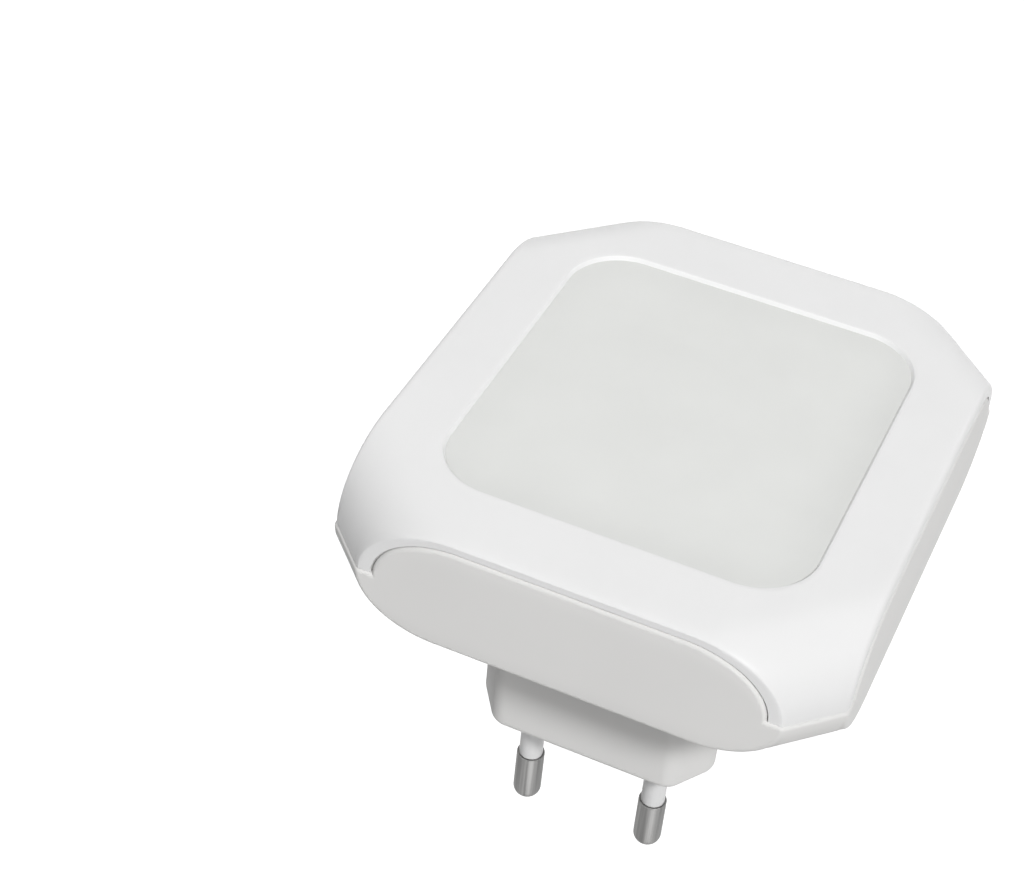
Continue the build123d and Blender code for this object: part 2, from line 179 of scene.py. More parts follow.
# %% [markdown]
# ## Finishes
#
# Moulded plastic is never quite even: the steel of the mould leaves a fine grain, and the melt cools into
# slightly different tones and gloss. One node group gives both, a fine height and a slow tone, and every
# finish takes it with its own sizes. The Principled shader stays in the material, where its plain numbers can
# be read. A second group gives the rings that a lathe leaves on the screws, and a third the fine lines that
# drawing through a die leaves on the pins.

# %% Node groups
MICRO = 1e-6
NOISE_SPAN = dict(From_Min=0.3, From_Max=0.7)  # what a noise's values mostly fill
DRAWN_STRETCH = 50  # how much longer than wide a drawn line is


def node(tree, kind, **settings):
    """Add a node and set its properties by name."""
    made = tree.nodes.new(kind)
    for key, value in settings.items():
        setattr(made, key, value)
    return made


def feed(tree, made, **sockets):
    """Fill a node's inputs, given by name with _ for a space or as _ and a number, with values or links."""
    for key, value in sockets.items():
        socket = made.inputs[int(key[1:]) if key[1:].isdigit() else key.replace("_", " ")]
        if isinstance(value, bpy.types.NodeSocket):
            tree.links.new(value, socket)
        else:
            socket.default_value = value
    return made


def vector_math(tree, operation, first, second=(0.0, 0.0, 0.0)):
    """A node that works on vectors."""
    return feed(tree, node(tree, "ShaderNodeVectorMath", operation=operation), _0=first, _1=second)


def number_math(tree, operation, first, second):
    """The result of a node that works on numbers."""
    return feed(tree, node(tree, "ShaderNodeMath", operation=operation), _0=first, _1=second).outputs[0]


def group_tree(name, inputs, outputs):
    """Start a shader node group whose inputs and outputs are numbers."""
    tree = bpy.data.node_groups.new(name, "ShaderNodeTree")
    for way, keys in (("INPUT", inputs), ("OUTPUT", outputs)):
        for key in keys:
            tree.interface.new_socket(key, in_out=way, socket_type="NodeSocketFloat")
    return tree, node(tree, "NodeGroupInput"), node(tree, "NodeGroupOutput")


def moulded_grain_group():
    """Grain: fine noise. Tone: slow noise, stretched to fill 0 to 1."""
    rates = ["Grain per metre", "Tone per metre"]
    tree, given, result = group_tree("moulded_grain", rates, ["Grain", "Tone"])
    place = node(tree, "ShaderNodeTexCoord").outputs["Object"]
    fine = feed(tree, node(tree, "ShaderNodeTexNoise"), Vector=place, Scale=given.outputs[0],
                Detail=2.0, Roughness=0.6)
    slow = feed(tree, node(tree, "ShaderNodeTexNoise"), Vector=place, Scale=given.outputs[1],
                Detail=3.0, Roughness=0.5)
    wide = feed(tree, node(tree, "ShaderNodeMapRange"), Value=slow.outputs["Fac"], **NOISE_SPAN)
    feed(tree, result, Grain=fine.outputs["Fac"], Tone=wide.outputs["Result"])
    return tree


def turned_rings_group():
    """Rings: bands along Y, the axis that the piece was turned about, bent a little by noise."""
    tree, given, result = group_tree("turned_rings", ["Rings per metre"], ["Rings"])
    place = node(tree, "ShaderNodeTexCoord").outputs["Object"]
    bands = node(tree, "ShaderNodeTexWave", bands_direction="Y")
    feed(tree, bands, Vector=place, Scale=given.outputs[0], Distortion=1.5, Detail=2.0, Detail_Scale=0.4)
    feed(tree, result, Rings=bands.outputs["Fac"])
    return tree


def drawn_lines_group():
    """Lines along Y, as drawing through a die leaves them: noise pulled out along Y."""
    tree, given, result = group_tree("drawn_lines", ["Lines per metre"], ["Lines"])
    place = node(tree, "ShaderNodeTexCoord").outputs["Object"]
    pulled = vector_math(tree, "MULTIPLY", place, (1.0, 1 / DRAWN_STRETCH, 1.0)).outputs[0]
    noise = feed(tree, node(tree, "ShaderNodeTexNoise"), Vector=pulled, Scale=given.outputs[0],
                 Detail=3.0, Roughness=0.6)
    wide = feed(tree, node(tree, "ShaderNodeMapRange"), Value=noise.outputs["Fac"], **NOISE_SPAN)
    feed(tree, result, Lines=wide.outputs["Result"])
    return tree


MOULDED_GRAIN = moulded_grain_group()
TURNED_RINGS = turned_rings_group()
DRAWN_LINES = drawn_lines_group()
print("node groups:", [tree.name for tree in bpy.data.node_groups])


# %% A finish from its values
def finish(name, low, high, gloss, grain=(6000.0, 1.5), tone=60.0, rings=None, drawn=None, **shader):
    """Material whose colour runs from low to high and whose roughness runs over gloss, by slow tone.

    grain is how many grains a metre and how deep in micrometres, tone is how many slow patches a metre, and
    rings is like grain, for lathe marks. With drawn, a number of lines a metre, drawn lines take the place of
    the slow tone. shader fills other inputs of the Principled node.
    """
    material = bpy.data.materials.new(name)
    material.use_nodes = True
    tree = material.node_tree
    surface = tree.nodes["Principled BSDF"]
    mould = node(tree, "ShaderNodeGroup", node_tree=MOULDED_GRAIN)
    feed(tree, mould, Grain_per_metre=grain[0], Tone_per_metre=tone)
    mask = mould.outputs["Tone"]
    if drawn:
        lines = node(tree, "ShaderNodeGroup", node_tree=DRAWN_LINES)
        mask = feed(tree, lines, Lines_per_metre=drawn).outputs["Lines"]
    colour = node(tree, "ShaderNodeMix", data_type="RGBA")
    feed(tree, colour, _0=mask, _6=(*low, 1.0), _7=(*high, 1.0))
    roughness = feed(tree, node(tree, "ShaderNodeMapRange"), Value=mask, To_Min=gloss[0], To_Max=gloss[1])
    bump = feed(tree, node(tree, "ShaderNodeBump"), Height=mould.outputs["Grain"],
                Distance=grain[1] * MICRO)
    if rings:
        lathe = node(tree, "ShaderNodeGroup", node_tree=TURNED_RINGS)
        feed(tree, lathe, Rings_per_metre=rings[0])
        grooves = feed(tree, node(tree, "ShaderNodeBump"), Height=lathe.outputs["Rings"],
                       Distance=rings[1] * MICRO)
        feed(tree, bump, Normal=grooves.outputs["Normal"])
    feed(tree, surface, Base_Color=colour.outputs[2], Roughness=roughness.outputs["Result"],
         Normal=bump.outputs["Normal"], **shader)
    return material


def grey(value, warm=0.0):
    """Linear grey, with blue taken off by warm."""
    return (value, value * (1 - warm / 3), value * (1 - warm))


FINISHES = {
    "white_cover": finish("white_cover", grey(0.748), grey(0.768), (0.40, 0.46), Specular_IOR_Level=0.3),
    "white_housing": finish("white_housing", grey(0.72, 0.02), grey(0.74, 0.02), (0.42, 0.48),
                            Specular_IOR_Level=0.03),
    "opal_panel": finish("opal_panel", (0.682, 0.689, 0.673), (0.702, 0.709, 0.693), (0.5, 0.56),
                         grain=(9000.0, 1.0), tone=90.0, Specular_IOR_Level=0.3),
    "pin_metal": finish("pin_metal", grey(0.13, 0.02), grey(0.28, 0.02), (0.45, 0.6),
                        grain=(9000.0, 0.6), drawn=1800.0, Metallic=1.0),
    "pin_sleeve": finish("pin_sleeve", grey(0.74), grey(0.77), (0.42, 0.5), Specular_IOR_Level=0.15),
}
print("finishes of the visible pieces:", sorted(FINISHES))

# %% [markdown]
# ## The rolled sheet
#
# The case is like a thick card, cut to a rectangle, whose four corners are rolled down. Each roll runs along
# a diagonal: with n the distance from the middle of the case along the diagonal and m the distance across it,
# the card is flat up to some n, and beyond it the card turns on a circle until it stands upright at the
# parting line. A place on the card laid flat is written (n, m). Bending it keeps lengths, so patches that are
# even on the flat card stay even on the roll.

# %% Bending the card
CORNER_CUT = 6.4  # leg of the diagonal corner at the parting line
COVER_WALL = 1.3  # a little thinner than the solid's, for a slim lip
COVER_INSET = 0.25  # of the cover's sides and corners behind those of the housing
ROUND_ROWS = 7  # over a rounded edge
SHORT_ROWS = 4  # across a narrow face
corner_reach = (half_width + half_height - CORNER_CUT) / ROOT2
front_flat = corner_reach - COVER_INSET - front_depth
print("corner reach, flat part:", round(corner_reach, 3), round(front_flat, 3))


def bend(card, flat, radius):
    """Point (n, m, rise) of a card place (n, m).

    Up to flat the card lies at a rise of radius. Beyond it, it has turned by (n - flat) / radius, its reach
    is flat + radius sin(turn) and its rise is radius cos(turn).
    """
    turn = np.maximum(card[..., 0] - flat, 0) / radius
    reach = np.minimum(card[..., 0], flat) + radius * np.sin(turn)
    return np.stack([reach, card[..., 1], radius * np.cos(turn)], -1)


def between(first, last, count):
    """Rows evenly spaced from first to last."""
    shares = np.linspace(0, 1, count)
    return first + (last - first) * shares.reshape(-1, *[1] * first.ndim)


def round_over(start, start_way, end, end_way, angle, radius):
    """Rows along a rounded edge, a cubic Bezier curve that stands for a circle turned by angle.

    Its two handles are 4/3 tan(angle / 4) radius long. A pair of radii gives each end its own, and so an
    ellipse. start_way and end_way point along the two faces towards the sharp edge that the curve cuts off.
    """
    radii = radius if isinstance(radius, tuple) else (radius, radius)
    handles = [np.broadcast_to(4 / 3 * np.tan(np.asarray(angle) / 4) * size, start.shape[:-1])[..., None]
               for size in radii]
    t = np.linspace(0, 1, ROUND_ROWS).reshape(-1, 1, 1)
    first, second = start + handles[0] * start_way, end + handles[1] * end_way
    return (1 - t)**3 * start + 3 * t * (1 - t)**2 * first + 3 * t**2 * (1 - t) * second + t**3 * end


# %% [markdown]
# ## Where the card meets a side face
#
# A side face is the upright plane at u = half, where u runs across the side and v along it. On the diagonal,
# u = (n + m) / root 2 and v = (n - m) / root 2. Where the card has turned by t, it meets the plane at
# v = root 2 (flat + radius sin t) - half, so seen from the side the edge is straight in the middle and drops
# in a quarter of an ellipse at each end. The edge is rounded by a curve whose size follows the angle between
# card and plane, which opens from a right angle on the flat to 135 degrees at the foot.

# %% The edge along a side
FLAT_COLUMNS = 10
ROLL_COLUMNS = 18
DIAGONAL_COLUMNS = 10
QUARTER = np.pi / 2


def side_line(flat, radius, half, last_turn=QUARTER):
    """Card places and turns of the edge along half a side: the flat part, then the roll up to last_turn."""
    v = np.linspace(0, ROOT2 * flat - half, FLAT_COLUMNS, endpoint=False)
    turn = np.linspace(0, last_turn, ROLL_COLUMNS)
    n = np.concatenate([(half + v) / ROOT2, flat + radius * turn])
    m = np.concatenate([(half - v) / ROOT2, ROOT2 * half - flat - radius * np.sin(turn)])
    return np.stack([n, m], -1), np.concatenate([0 * v, turn])


def side_round(line, turn, flat, radius, rounding):
    """Card places where the rounding of the edge starts, and its rows of points down to the side face.

    In the card, the way inwards from the edge is (-cos t, -1) / root(1 + cos^2 t), along and across the
    diagonal. In the side face, the way down from the edge is (-sin t, -root 2 cos t) over the same root,
    along the side and downwards. The faces' normals are arccos(sin t / root 2) apart. rounding is a pair,
    for the card and for the side face.
    """
    norm = np.sqrt(1 + np.cos(turn)**2)
    angle = np.arccos(np.sin(turn) / ROOT2)
    card_step, side_step = (size * np.tan(angle / 2)[:, None] for size in rounding)
    inward = np.stack([-np.cos(turn), -np.ones_like(turn)], -1) / norm[:, None]
    start = line + card_step * inward
    bent = np.maximum(start[:, 0] - flat, 0) / radius
    back = np.stack([-inward[:, 0] * np.cos(bent), -inward[:, 1], inward[:, 0] * np.sin(bent)], -1)
    along = -np.sin(turn) / ROOT2
    down = np.stack([along, -along, -ROOT2 * np.cos(turn)], -1) / norm[:, None]
    end = bend(line, flat, radius) + side_step * down
    return start, round_over(bend(start, flat, radius), back, end, -down, angle, rounding)


def on_side(u, v, rise=None):
    """Diagonal coordinates (n, m) or (n, m, rise) of places across and along a side."""
    parts = [(u + v) / ROOT2, (u - v) / ROOT2]
    return np.stack(parts if rise is None else parts + [rise], -1)


# %% [markdown]
# ## From a quarter to the whole
#
# The case is the same in its four quarters, so only one is worked out. A quarter runs from the middle of the
# side at +X round the corner to the middle of the side at +Z. Its second side is made by the same functions
# with width and height changed over, and m with its sign changed. Then the quarter is copied with x, z or
# both turned over, and put in its place in front of the plug face.

# %% Mirroring and placing
def flip(points, sign):
    """Change the sign of m, which changes over the two sides of a quarter."""
    return points * np.array([1, sign, 1][:points.shape[-1]])


def whole(patches):
    """All four quarters, in the frame of the CAD model in millimetres."""
    placed = []
    for patch in patches:
        n, m, rise = np.moveaxis(patch, -1, 0)
        x, z = (n + m) / ROOT2, (n - m) / ROOT2
        for left in (1, -1):
            for low in (1, -1):
                placed.append(np.stack([left * x, -parting - rise, low * z + case_middle], -1))
    return placed


def fan(points, centre):
    """A patch from a row of points to one centre, which closes the end of a rounded edge."""
    return between(points, np.broadcast_to(centre, points.shape), SHORT_ROWS)


# %% [markdown]
# ## Front cover
#
# On the real light this is one thin moulding: the rim around the panel, with its corners rolled down to the
# parting line and open arches over the four sides. It could be cut from a block with booleans and bevels, but
# bevels across the changing angle at the feet of the arches come out uneven. Worked out as a bent card, every
# row of points runs evenly from the opening to the edge, over the rounding, across the lip, and back on the
# inside. The wall of the opening leans outwards, so its far sides face the light and show as a thin bright
# line, which a painted highlight, a lighter colour on the wall, makes brighter.

# %% Cover sizes and the opening
RIM_WIDTH = 9.8  # cover beside the opening
RIM_HEIGHT = 11.1  # cover above and below it
OPENING_ROUND = 8.5
# steps of the opening's wall: outwards from its nominal line, and down from the front face
OPENING_WALL = [(-0.13, COVER_WALL), (-0.13, 0.60), (0.16, 0.10), (0.185, 0.06), (0.22, 0.025), (0.27, 0.0)]
SIDE_EDGE_ROUND = (0.9, 0.8)  # how far the rounding starts from the edge, on the front and on the lip
END_EDGE_ROUND = (2.0, 0.35)
CORNER_SHARE = np.radians(33)  # part of the opening's round corner that belongs to a side
opening_half = np.array([half_width - RIM_WIDTH, half_height - RIM_HEIGHT])
inside_roll = (front_flat, front_depth - COVER_WALL)
front_roll = (front_flat, front_depth)


def opening_line(across, along):
    """Places and outward directions round half a side of the opening, with its share of the corner."""
    v = np.linspace(0, along - OPENING_ROUND, FLAT_COLUMNS, endpoint=False)
    angle = np.linspace(0, CORNER_SHARE, ROLL_COLUMNS)
    angle = np.concatenate([0 * v, angle])
    v = np.concatenate([v, np.full(ROLL_COLUMNS, along - OPENING_ROUND)]) + OPENING_ROUND * np.sin(angle)
    u = across - OPENING_ROUND + OPENING_ROUND * np.cos(angle)
    return on_side(u, v), on_side(np.cos(angle), np.sin(angle))


def opening_rows(rim, out):
    """The wall of the opening from the inside of the cover to the front: upright, then leaning outwards."""
    flat = np.zeros((*rim.shape[:-1], 1))
    return np.stack([np.concatenate([rim + grow * out, flat + front_depth - depth], -1)
                     for grow, depth in OPENING_WALL])


# %% Cover patches
TOP_ROWS = 24
INNER_ROWS = 12


def cover_side(half, across, along, sign, rounding):
    """Half a side of the cover: opening wall, top, rounded edge, lip and inside."""
    line, turn = side_line(*front_roll, half)
    start, edge = side_round(line, turn, *front_roll, rounding)
    inner, _ = side_line(*inside_roll, half)
    rim, out = opening_line(across, along)
    top = bend(between(rim + OPENING_WALL[-1][0] * out, start, TOP_ROWS), *front_roll)
    lip = between(edge[-1], bend(inner, *inside_roll), SHORT_ROWS)
    back = bend(between(inner, rim + OPENING_WALL[0][0] * out, INNER_ROWS), *inside_roll)
    rows = np.concatenate([opening_rows(rim, out), top[1:], edge[1:], lip[1:], back[1:]])
    foot = fan(edge[:, -1], lip[-1, -1])
    ends = flip(start[-1], sign), flip(inner[-1], sign)
    return flip(rows, sign), flip(foot, sign), ends


def cover_corner(first, second):
    """The rolled corner between two sides: opening wall, top, bottom edge and inside."""
    angle = CORNER_SHARE + np.linspace(0, 1, DIAGONAL_COLUMNS) * (QUARTER - 2 * CORNER_SHARE)
    out = on_side(np.cos(angle), np.sin(angle))
    rim = on_side(*opening_half - OPENING_ROUND) + OPENING_ROUND * out
    outer, inner = (between(start, end, DIAGONAL_COLUMNS) for start, end in zip(first, second))
    top = bend(between(rim + OPENING_WALL[-1][0] * out, outer, TOP_ROWS), *front_roll)
    foot = between(top[-1], bend(inner, *inside_roll), SHORT_ROWS)
    back = bend(between(inner, rim + OPENING_WALL[0][0] * out, INNER_ROWS), *inside_roll)
    return np.concatenate([opening_rows(rim, out), top[1:], foot[1:], back[1:]])


side_x, foot_x, ends_x = cover_side(half_width - COVER_INSET, *opening_half, 1, SIDE_EDGE_ROUND)
side_z, foot_z, ends_z = cover_side(half_height - COVER_INSET, *opening_half[::-1], -1, END_EDGE_ROUND)
cover_quarter = [side_x, side_z, foot_x, foot_z, cover_corner(ends_x, ends_z)]
front_cover = piece_from_patches("cover", whole(cover_quarter))
stand_for(front_cover, "white_cover", "front_cover")


# %% Painted highlight on the wall of the opening
WALL_HIGHLIGHT_TONE = 0.82  # painted highlight: a lighter colour on the wall, standing in for the light that it catches
WALL_REACH = 0.6  # outside the opening's nominal line
WALL_START = 0.03  # below the front face


def from_middle(tree):
    """How far a place is from the middle of the case along each axis, on Object coordinates."""
    place = node(tree, "ShaderNodeTexCoord").outputs["Object"]
    moved = vector_math(tree, "SUBTRACT", place, (0.0, 0.0, case_middle * MM)).outputs[0]
    return vector_math(tree, "ABSOLUTE", moved).outputs[0]


def wall_highlight_mask(tree, half):
    """Mask of the painted highlight: 1 below the front face within a rectangle in x and z, 0 elsewhere."""
    parts = feed(tree, node(tree, "ShaderNodeSeparateXYZ"), _0=from_middle(tree))
    mask = 1.0
    limits = (half[0] + WALL_REACH, parting + front_depth - WALL_START, half[1] + WALL_REACH)
    for axis, limit in zip("XYZ", limits):
        under = number_math(tree, "LESS_THAN", parts.outputs[axis], limit * MM)
        mask = number_math(tree, "MULTIPLY", mask, under)
    return mask


def paint_light_and_shade(tree, mask, blend, tone):
    """Paint light or shade into a finish: put a mask's tone between the finish and its Base Color."""
    surface = tree.nodes["Principled BSDF"]
    plain = surface.inputs["Base Color"].links[0].from_socket
    mixed = node(tree, "ShaderNodeMix", data_type="RGBA", blend_type=blend)
    feed(tree, mixed, _0=mask, _6=plain, _7=(tone, tone, tone, 1.0))
    feed(tree, surface, Base_Color=mixed.outputs[2])


cover_tree = FINISHES["white_cover"].node_tree
# painted highlight: the wall of the opening gets a lighter colour than the rest of the cover
paint_light_and_shade(cover_tree, wall_highlight_mask(cover_tree, opening_half), "MIX", WALL_HIGHLIGHT_TONE)

# %% [markdown]
# ## Back housing
#
# The housing is the same kind of rolled card, turned to the back and rolled more tightly. On the four sides
# it rises above the parting line as a flat arched panel that fills the opening under the cover, with a small
# gap. Its upper edge runs over the arch, down its foot, along a short ledge and round the corner as one
# rounded rim, which catches the light. The rim is worked out as one strip, so that the highlight doesn't
# break where the edge changes direction. Behind it a step rises to the inside of the cover, so the seam is a
# shallow groove and not a view into the case.

# %% Housing sizes
BACK_DEPTH = 8.6
SEAM_GAP = 0.15  # between the side panel's arch and the inside of the cover
SEAM_DEPTHS = (0.15, 0.4)  # from the cover's lip in to the step that closes the seam: sides, ends
PANEL_WALL = 1.6
FLOOR_WALL = 1.8
CORNER_WALL = 2.8
STEP_CLEARANCE = 0.01  # between the top of that step and the inside of the cover
EDGE_ROUND = (1.0, 1.0)  # how far the rounding starts from the edge, on the back and on the side
RIM_ROUND = 0.6
LEDGE_COLUMNS = 6
BEHIND = np.array([1.0, 1.0, -1.0])  # turns a rise to the front into one to the back
back_roll = (corner_reach - BACK_DEPTH, BACK_DEPTH)
room_roll = (corner_reach - CORNER_WALL - (BACK_DEPTH - FLOOR_WALL), BACK_DEPTH - FLOOR_WALL)
arch_roll = (front_flat, front_depth - COVER_WALL - SEAM_GAP)
back_turn = np.arccos(RIM_ROUND / BACK_DEPTH)  # of the back's roll, where the rim begins


def arch_line(half, ledge_end):
    """Places (v, rise) along the upper edge of half a side, and the way (v, rise) out of the panel there.

    The arch is the edge of a card rolled a little inside the cover. The ledge is level with the parting
    line. At the corner between them the way is the sum of both, so that the rounding turns with the edge.
    """
    flat, radius = arch_roll
    v = np.linspace(0, ROOT2 * flat - half, FLAT_COLUMNS, endpoint=False)
    turn = np.concatenate([0 * v, np.linspace(0, QUARTER, ROLL_COLUMNS - LEDGE_COLUMNS)])
    v = np.concatenate([v, ROOT2 * (flat + radius * np.sin(turn[FLAT_COLUMNS:])) - half])
    norm = np.sqrt(1 + np.cos(turn)**2)
    way = np.stack([np.sin(turn), ROOT2 * np.cos(turn)], -1) / norm[:, None]
    way[-1] = (1.0, 1.0)
    arch = np.stack([v, radius * np.cos(turn)], -1)
    ledge = np.stack([np.linspace(v[-1], ledge_end, LEDGE_COLUMNS + 1)[1:], np.zeros(LEDGE_COLUMNS)], -1)
    return np.concatenate([arch, ledge]), np.concatenate([way, np.tile([0.0, 1.0], (LEDGE_COLUMNS, 1))])


# %% Housing patches
SIDE_ROWS = 8


def ledge_fade(columns):
    """Weights of the columns along half a side: 1 over the arch, falling to 0 along the ledge."""
    column = np.arange(columns)[:, None]
    return np.clip((columns - 1 - column) / LEDGE_COLUMNS, 0, 1)


def seam_step(cover_half, top, depth):
    """Two rows of the step behind the seam: its foot at the rim's level, and its top under the cover.

    The step leans in by half its depth. At u, the inside of the cover has turned by t at
    v = root 2 (flat + radius sin t) - u, so the top of the step is further along the side than the rim's
    edge, as the card comes in at a slant.
    """
    flat, radius = inside_roll[0], inside_roll[1] - STEP_CLEARANCE
    foot_u = np.full(len(top), cover_half - depth)
    top_u = foot_u - depth / 2
    turn = np.arccos(np.clip(top[:, 1] / arch_roll[1], 0, 1))
    top_v = np.where(turn > 0, ROOT2 * (flat + radius * np.sin(turn)) - top_u, top[:, 0])
    return np.stack([on_side(foot_u, top[:, 0], top[:, 1]), on_side(top_u, top_v, radius * np.cos(turn))])


def housing_side(half, sign, seam_depth):
    """Half a side of the housing as patches, and its part of the rim: points, ways out and inner edge.

    Rises are measured from the parting line towards the front, so the rolled back has negative ones.
    """
    # the rolled back, and its rounded edge with the side
    line, turn = side_line(*back_roll, half, back_turn)
    start, edge = side_round(line, turn, *back_roll, EDGE_ROUND)
    back = bend(between(np.zeros_like(start), start, TOP_ROWS), *back_roll) * BEHIND
    edge = edge * BEHIND
    # the outside of the side panel, up to where its rim starts to turn in
    end_v = (edge[-1, -1, 0] - edge[-1, -1, 1]) / ROOT2
    top, way = arch_line(half - COVER_INSET, end_v)
    below = top - RIM_ROUND * way
    wall_top = on_side(np.full(len(top), half), below[:, 0], below[:, 1])
    wall_top[-1] = edge[-1, -1]
    wall = between(edge[-1], wall_top, SIDE_ROWS)
    crest = on_side(np.full(len(top), half), top[:, 0], top[:, 1])
    out = np.tile(np.array([1.0, 1.0, 0.0]) / ROOT2, (len(top), 1))
    upward = on_side(np.zeros(len(top)), way[:, 0], way[:, 1])
    # the room behind the panel
    inner_half = half - PANEL_WALL
    room, _ = side_line(*room_roll, inner_half)
    room_v = (bend(room, *room_roll)[-1, 0] - room[-1, 1]) / ROOT2
    inner_v = top[:, 0].copy()
    inner_v[-LEDGE_COLUMNS - 1:] = np.linspace(inner_v[-LEDGE_COLUMNS - 1], room_v, LEDGE_COLUMNS + 1)
    inner = on_side(np.full(len(top), inner_half), inner_v, top[:, 1])
    shelf = between(crest - RIM_ROUND * out, inner, SHORT_ROWS)[1:-1]
    shelf += ledge_fade(len(top)) * (seam_step(half - COVER_INSET, top, seam_depth) - shelf)
    room_wall = between(inner, bend(room, *room_roll) * BEHIND, SHORT_ROWS)
    room_floor = bend(between(room, np.zeros_like(room), INNER_ROWS), *room_roll) * BEHIND
    patches = [flip(patch, sign) for patch in (back, edge, wall, room_wall, room_floor)]
    rim = [flip(part, sign) for part in (wall_top, crest, out, upward, inner, shelf)]
    corner = flip(edge[:, -1], sign), flip(start[-1], sign), flip(room[-1], sign)
    return patches, rim, corner


def housing_corner(first, second):
    """The rolled corner between two sides, and its part of the rim with the two rounded upright edges."""
    edge_first, edge_second = first[0], second[0]
    outer, room = (between(start, end, DIAGONAL_COLUMNS) for start, end in zip(first[1:], second[1:]))
    back = bend(between(np.zeros_like(outer), outer, TOP_ROWS), *back_roll) * BEHIND
    room_floor = bend(between(room, np.zeros_like(room), INNER_ROWS), *room_roll) * BEHIND
    # round the corner: down the first rounded edge, along the diagonal, up the second
    line = np.concatenate([edge_first[::-1], back[-1][1:-1], edge_second])
    angle = np.concatenate([np.linspace(1, 0, len(edge_first)), np.zeros(DIAGONAL_COLUMNS - 2),
                            np.linspace(0, -1, len(edge_second))]) * QUARTER / 2
    out = np.stack([np.cos(angle), np.sin(angle), 0 * angle], -1)
    crest = line * np.array([1.0, 1.0, 0.0])
    upward = np.tile([0.0, 0.0, 1.0], (len(line), 1))
    inner = np.concatenate([np.tile(room_floor[0][0], (len(edge_first), 1)), room_floor[0][1:-1],
                            np.tile(room_floor[0][-1], (len(edge_second), 1))])
    shelf = between(crest - RIM_ROUND * out, inner, SHORT_ROWS)[1:-1]
    return [back, room_floor], [line, crest, out, upward, inner, shelf]


def rim_rows(wall_top, crest, out, upward, inner, shelf):
    """The rounded rim: from the top of the wall over a quarter circle, then along the shelf inwards."""
    over = round_over(wall_top, upward, crest - RIM_ROUND * out, out, QUARTER, RIM_ROUND)
    return np.concatenate([over, shelf, inner[None]])


patches_x, rim_x, corner_x = housing_side(half_width, 1, SEAM_DEPTHS[0])
patches_z, rim_z, corner_z = housing_side(half_height, -1, SEAM_DEPTHS[1])
patches_c, rim_c = housing_corner(corner_x, corner_z)
rims = [rim_rows(*rim) for rim in (rim_x, rim_z, rim_c)]
housing_shell = piece_from_patches("housing", whole([*patches_x, *patches_z, *patches_c, *rims]))

# %% [markdown]
# ## Lathe and outline shapes
#
# Pins, sleeves, pillars and screw seats are turned shapes: a profile of radius and depth carried round an
# axis. The plug neck and the panel are outline shapes: a polygon with rounded corners, carried along the
# depth while it grows or shrinks. Both are grids again, of profile points by points round the axis.

# %% Turned shapes and grown outlines
ROUND_COLUMNS = 48
CORNER_POINTS = 9


def turned(profile, centre):
    """Profile points (radius, y) carried round the axis along Y through centre (x, z)."""
    radius, y = np.array(profile, float).T[:, :, None]
    angle = np.linspace(0, 2 * np.pi, ROUND_COLUMNS + 1)
    return np.stack([centre[0] + radius * np.cos(angle), y + 0 * angle,
                     centre[1] + radius * np.sin(angle)], -1)


def arc_profile(centre, radius, first, last, count):
    """Profile points on a circle about centre (radius, y), between two angles in degrees."""
    angle = np.radians(np.linspace(first, last, count))
    return np.stack([centre[0] + radius * np.cos(angle), centre[1] + radius * np.sin(angle)], -1)


def outline(corners, grow, rounding):
    """A convex polygon grown by grow, with corners rounded by rounding, as closed points (x, z).

    Each corner is moved along its mitre by grow - rounding, and an arc of the rounding runs round it from
    the one edge's normal to the next one's.
    """
    corners = np.asarray(corners, float)
    ahead = np.roll(corners, -1, 0) - corners
    heading = np.arctan2(ahead[:, 1], ahead[:, 0]) - QUARTER
    before = np.roll(heading, 1)
    swing = (heading - before + np.pi) % (2 * np.pi) - np.pi
    middle = before + swing / 2
    mitre = np.stack([np.cos(middle), np.sin(middle)], -1) / np.cos(swing / 2)[:, None]
    core = corners + (grow - rounding) * mitre
    angle = before[:, None] + swing[:, None] * np.linspace(0, 1, CORNER_POINTS)
    ring = core[:, None] + rounding * np.stack([np.cos(angle), np.sin(angle)], -1)
    ring = ring.reshape(-1, 2)
    return np.concatenate([ring, ring[:1]])


def carried(rings, depths, middle=(0.0, 0.0)):
    """Outlines (x, z), each put at its depth y and shifted by middle."""
    rows = [np.stack([ring[:, 0] + middle[0], depth + 0 * ring[:, 0], ring[:, 1] + middle[1]], -1)
            for ring, depth in zip(rings, depths)]
    return np.stack(rows)


# %% [markdown]
# ## Holes in the housing
#
# The plug neck comes out through the floor of the housing, and two screws sink into seats above and below it.
# These are the only places where one form is cut by another, so they are the only booleans: the screws'
# pillars are added first, then the holes are taken out, and the result replaces the mesh.

# %% Pillars, screw seats and the hole for the neck
NECK_FLAT = 26.1
NECK_WIDTH = 35.3
NECK_THICKNESS = 13.7
NECK_ROUND = 3.0
NECK_GAP = 0.15
NECK_HOLE_DEPTH = 4.0
SCREW_INSET = 4.8
SEAT_RADIUS = 2.05
SEAT_DEPTH = 3.8
SCREW_HOLE = 1.15
PILLAR_RADIUS = 2.95
CUT_PAST = 1.0  # how far a cutter reaches past what it cuts
case_back = BACK_DEPTH - parting
board_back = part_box("circuit_board")[1][1] / MM
screw_places = [(0.0, case_middle + way * (half_height - SCREW_INSET)) for way in (1, -1)]
neck_corners = [(NECK_WIDTH / 2, 0), (NECK_FLAT / 2, NECK_THICKNESS / 2),
                (-NECK_FLAT / 2, NECK_THICKNESS / 2), (-NECK_WIDTH / 2, 0),
                (-NECK_FLAT / 2, -NECK_THICKNESS / 2), (NECK_FLAT / 2, -NECK_THICKNESS / 2)]


def rod(radius, near, far, centre):
    """A closed round bar between two depths."""
    return turned([(0, near), (radius, near), (radius, far), (0, far)], centre)


